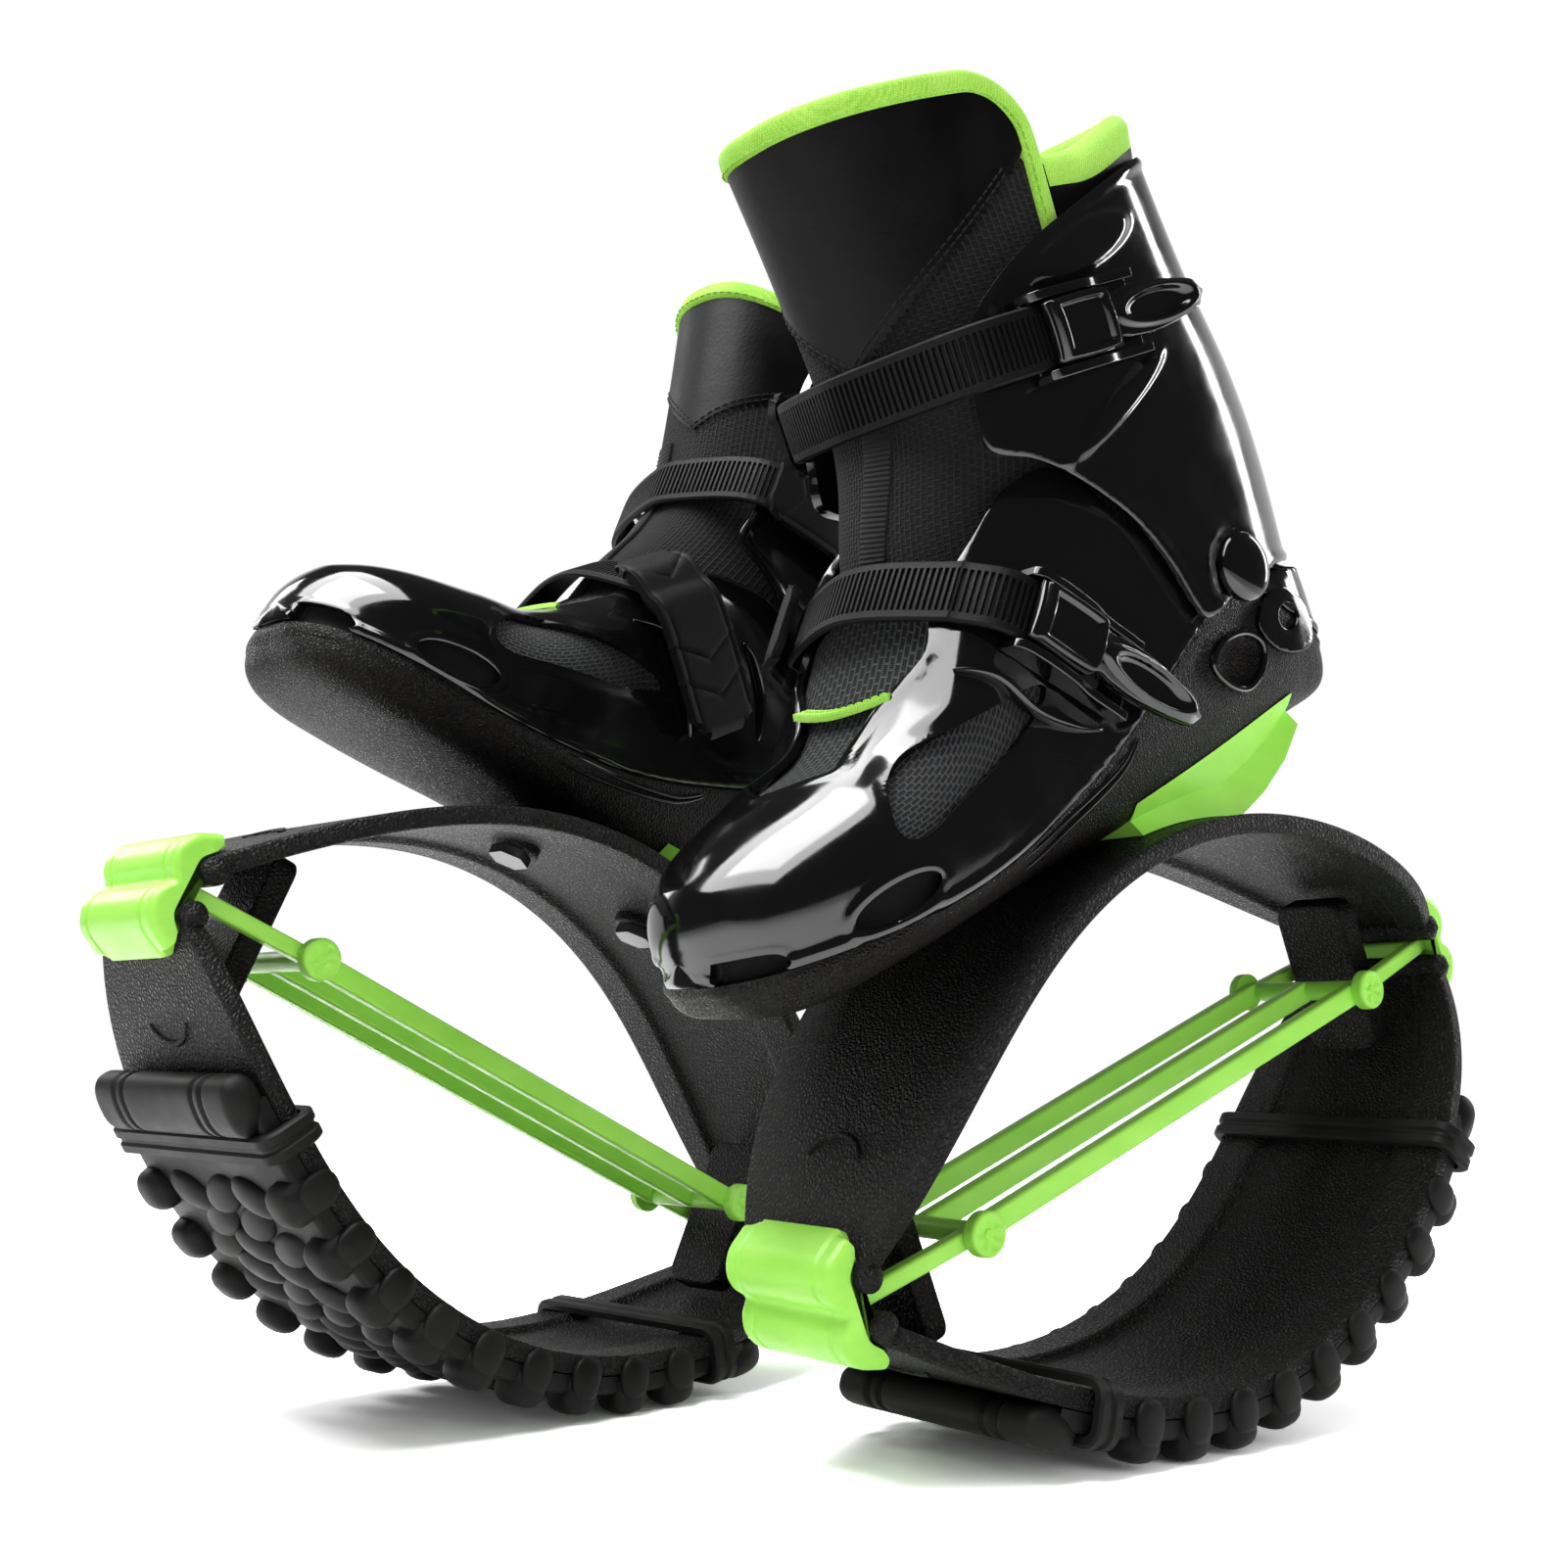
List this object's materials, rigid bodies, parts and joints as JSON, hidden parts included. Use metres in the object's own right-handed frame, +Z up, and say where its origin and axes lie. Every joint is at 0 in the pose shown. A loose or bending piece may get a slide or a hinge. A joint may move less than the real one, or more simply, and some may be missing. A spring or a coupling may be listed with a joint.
{
  "type": "rebound jumping boots",
  "caption": "Pair of hard-shell boots on elliptical leaf springs with knobbed rubber treads, lime tension bands and ratchet buckles, tilted on their curved treads.",
  "frame": {"origin": "middle of the pair's footprint, on the floor under the treads", "axes": "+Z up; +X to the right and +Y away from a viewer who faces the toes of the pair as in the picture"},
  "size_m": [0.4722, 0.336, 0.4362],
  "materials": {
    "textured_black": "fine leather-like texture",
    "gloss_black": "high gloss",
    "tread_rubber": "matte",
    "lime_plastic": "satin lime green",
    "liner_fabric": "woven mesh and leatherette",
    "strap_plastic": "ribbed, satin",
    "bolt_steel": "blackened",
    "insole_foam": "foam with fabric cover"
  },
  "bodies": {
    "ground_arches": {"left_lower_arch": "textured_black", "left_tread": "tread_rubber", "left_front_tread_loop": "tread_rubber", "left_rear_tread_loop": "tread_rubber", "right_lower_arch": "textured_black", "right_tread": "tread_rubber", "right_front_tread_loop": "tread_rubber", "right_rear_tread_loop": "tread_rubber"},
    "left_spring_ends": {"left_front_clip": "lime_plastic", "left_rear_clip": "lime_plastic", "left_tension_band": "lime_plastic", "left_front_insert": "textured_black", "left_rear_insert": "textured_black"},
    "left_boot": {"left_upper_arch": "textured_black", "left_spacer_wedge": "lime_plastic", "left_front_sole_bolt": "bolt_steel", "left_rear_sole_bolt": "bolt_steel", "left_sole_frame": "textured_black", "left_boot_shell": "gloss_black", "left_liner_foot": "liner_fabric", "left_insole": "insole_foam", "left_lateral_ankle_rivet": "gloss_black", "left_medial_ankle_rivet": "gloss_black", "left_lower_buckle_base": "gloss_black"},
    "left_ankle_cuff": {"left_cuff": "gloss_black", "left_liner_shaft": "liner_fabric", "left_tongue": "liner_fabric", "left_upper_buckle_base": "gloss_black"},
    "left_upper_strap_band": {"left_upper_strap": "strap_plastic", "left_upper_strap_pad": "strap_plastic"},
    "left_lower_strap_band": {"left_lower_strap": "strap_plastic", "left_lower_strap_pad": "strap_plastic"},
    "left_upper_lever": {"left_upper_buckle_lever": "gloss_black"},
    "left_lower_lever": {"left_lower_buckle_lever": "gloss_black"},
    "right_spring_ends": {"right_front_clip": "lime_plastic", "right_rear_clip": "lime_plastic", "right_tension_band": "lime_plastic", "right_front_insert": "textured_black", "right_rear_insert": "textured_black"},
    "right_boot": {"right_upper_arch": "textured_black", "right_spacer_wedge": "lime_plastic", "right_front_sole_bolt": "bolt_steel", "right_rear_sole_bolt": "bolt_steel", "right_sole_frame": "textured_black", "right_boot_shell": "gloss_black", "right_liner_foot": "liner_fabric", "right_insole": "insole_foam", "right_lateral_ankle_rivet": "gloss_black", "right_medial_ankle_rivet": "gloss_black", "right_lower_buckle_base": "gloss_black"},
    "right_ankle_cuff": {"right_cuff": "gloss_black", "right_liner_shaft": "liner_fabric", "right_tongue": "liner_fabric", "right_upper_buckle_base": "gloss_black"},
    "right_upper_strap_band": {"right_upper_strap": "strap_plastic", "right_upper_strap_pad": "strap_plastic"},
    "right_lower_strap_band": {"right_lower_strap": "strap_plastic", "right_lower_strap_pad": "strap_plastic"},
    "right_upper_lever": {"right_upper_buckle_lever": "gloss_black"},
    "right_lower_lever": {"right_lower_buckle_lever": "gloss_black"}
  },
  "joints": [
    {"name": "left_spring_compression", "type": "slide", "parent": "ground_arches", "child": "left_boot", "axis": [-0.2965, -0.221, 0.9291], "range_m": [-0.03, 0], "stiffness_N_per_m": 25000, "deforming": ["left_upper_arch", "left_lower_arch"]},
    {"name": "left_spring_ends_follow", "type": "slide", "parent": "ground_arches", "child": "left_spring_ends", "axis": [-0.2965, -0.221, 0.9291], "range_m": [-0.015, 0]},
    {"name": "left_cuff_flex", "type": "hinge", "parent": "left_boot", "child": "left_ankle_cuff", "pos_m": [0.10758, -0.03766, 0.27795], "axis": [0.5976, -0.8018, 0], "range_deg": [0, 10], "stiffness_Nm_per_rad": 12, "deforming": ["left_liner_shaft", "left_tongue"]},
    {"name": "left_upper_strap_loosen", "type": "slide", "parent": "left_ankle_cuff", "child": "left_upper_strap_band", "axis": [0.7342, 0.5472, 0.4019], "range_m": [-0.012, 0]},
    {"name": "left_lower_strap_loosen", "type": "slide", "parent": "left_boot", "child": "left_lower_strap_band", "axis": [0.752, 0.5605, -0.3469], "range_m": [-0.012, 0]},
    {"name": "left_upper_lever_open", "type": "hinge", "parent": "left_ankle_cuff", "child": "left_upper_lever", "pos_m": [0.06831, -0.1372, 0.33488], "axis": [0.3223, 0.2402, -0.9157], "range_deg": [0, 75]},
    {"name": "left_lower_lever_open", "type": "hinge", "parent": "left_boot", "child": "left_lower_lever", "pos_m": [0.06202, -0.14062, 0.24928], "axis": [-0.2782, -0.2073, -0.9379], "range_deg": [0, 75]},
    {"name": "right_spring_compression", "type": "slide", "parent": "ground_arches", "child": "right_boot", "axis": [0.3112, 0.2974, 0.9026], "range_m": [-0.03, 0], "stiffness_N_per_m": 25000, "deforming": ["right_upper_arch", "right_lower_arch"]},
    {"name": "right_spring_ends_follow", "type": "slide", "parent": "ground_arches", "child": "right_spring_ends", "axis": [0.3112, 0.2974, 0.9026], "range_m": [-0.015, 0]},
    {"name": "right_cuff_flex", "type": "hinge", "parent": "right_boot", "child": "right_ankle_cuff", "pos_m": [-0.01848, 0.08596, 0.22015], "axis": [0.6909, -0.723, 0], "range_deg": [0, 10], "stiffness_Nm_per_rad": 12, "deforming": ["right_liner_shaft", "right_tongue"]},
    {"name": "right_upper_strap_loosen", "type": "slide", "parent": "right_ankle_cuff", "child": "right_upper_strap_band", "axis": [0.663, 0.6336, -0.3987], "range_m": [-0.012, 0]},
    {"name": "right_lower_strap_loosen", "type": "slide", "parent": "right_boot", "child": "right_lower_strap_band", "axis": [0.2767, 0.2644, -0.9239], "range_m": [-0.012, 0]},
    {"name": "right_upper_lever_open", "type": "hinge", "parent": "right_ankle_cuff", "child": "right_upper_lever", "pos_m": [-0.07188, 0.11285, 0.32559], "axis": [0.2883, 0.2755, 0.9171], "range_deg": [0, 75]},
    {"name": "right_lower_lever_open", "type": "hinge", "parent": "right_boot", "child": "right_lower_lever", "pos_m": [-0.12008, 0.06539, 0.27263], "axis": [0.6679, 0.6383, 0.3827], "range_deg": [0, 75]}
  ],
  "couplings": [
    {"joint": "left_spring_ends_follow", "follows": "left_spring_compression", "ratio": 0.5},
    {"joint": "right_spring_ends_follow", "follows": "right_spring_compression", "ratio": 0.5}
  ]
}
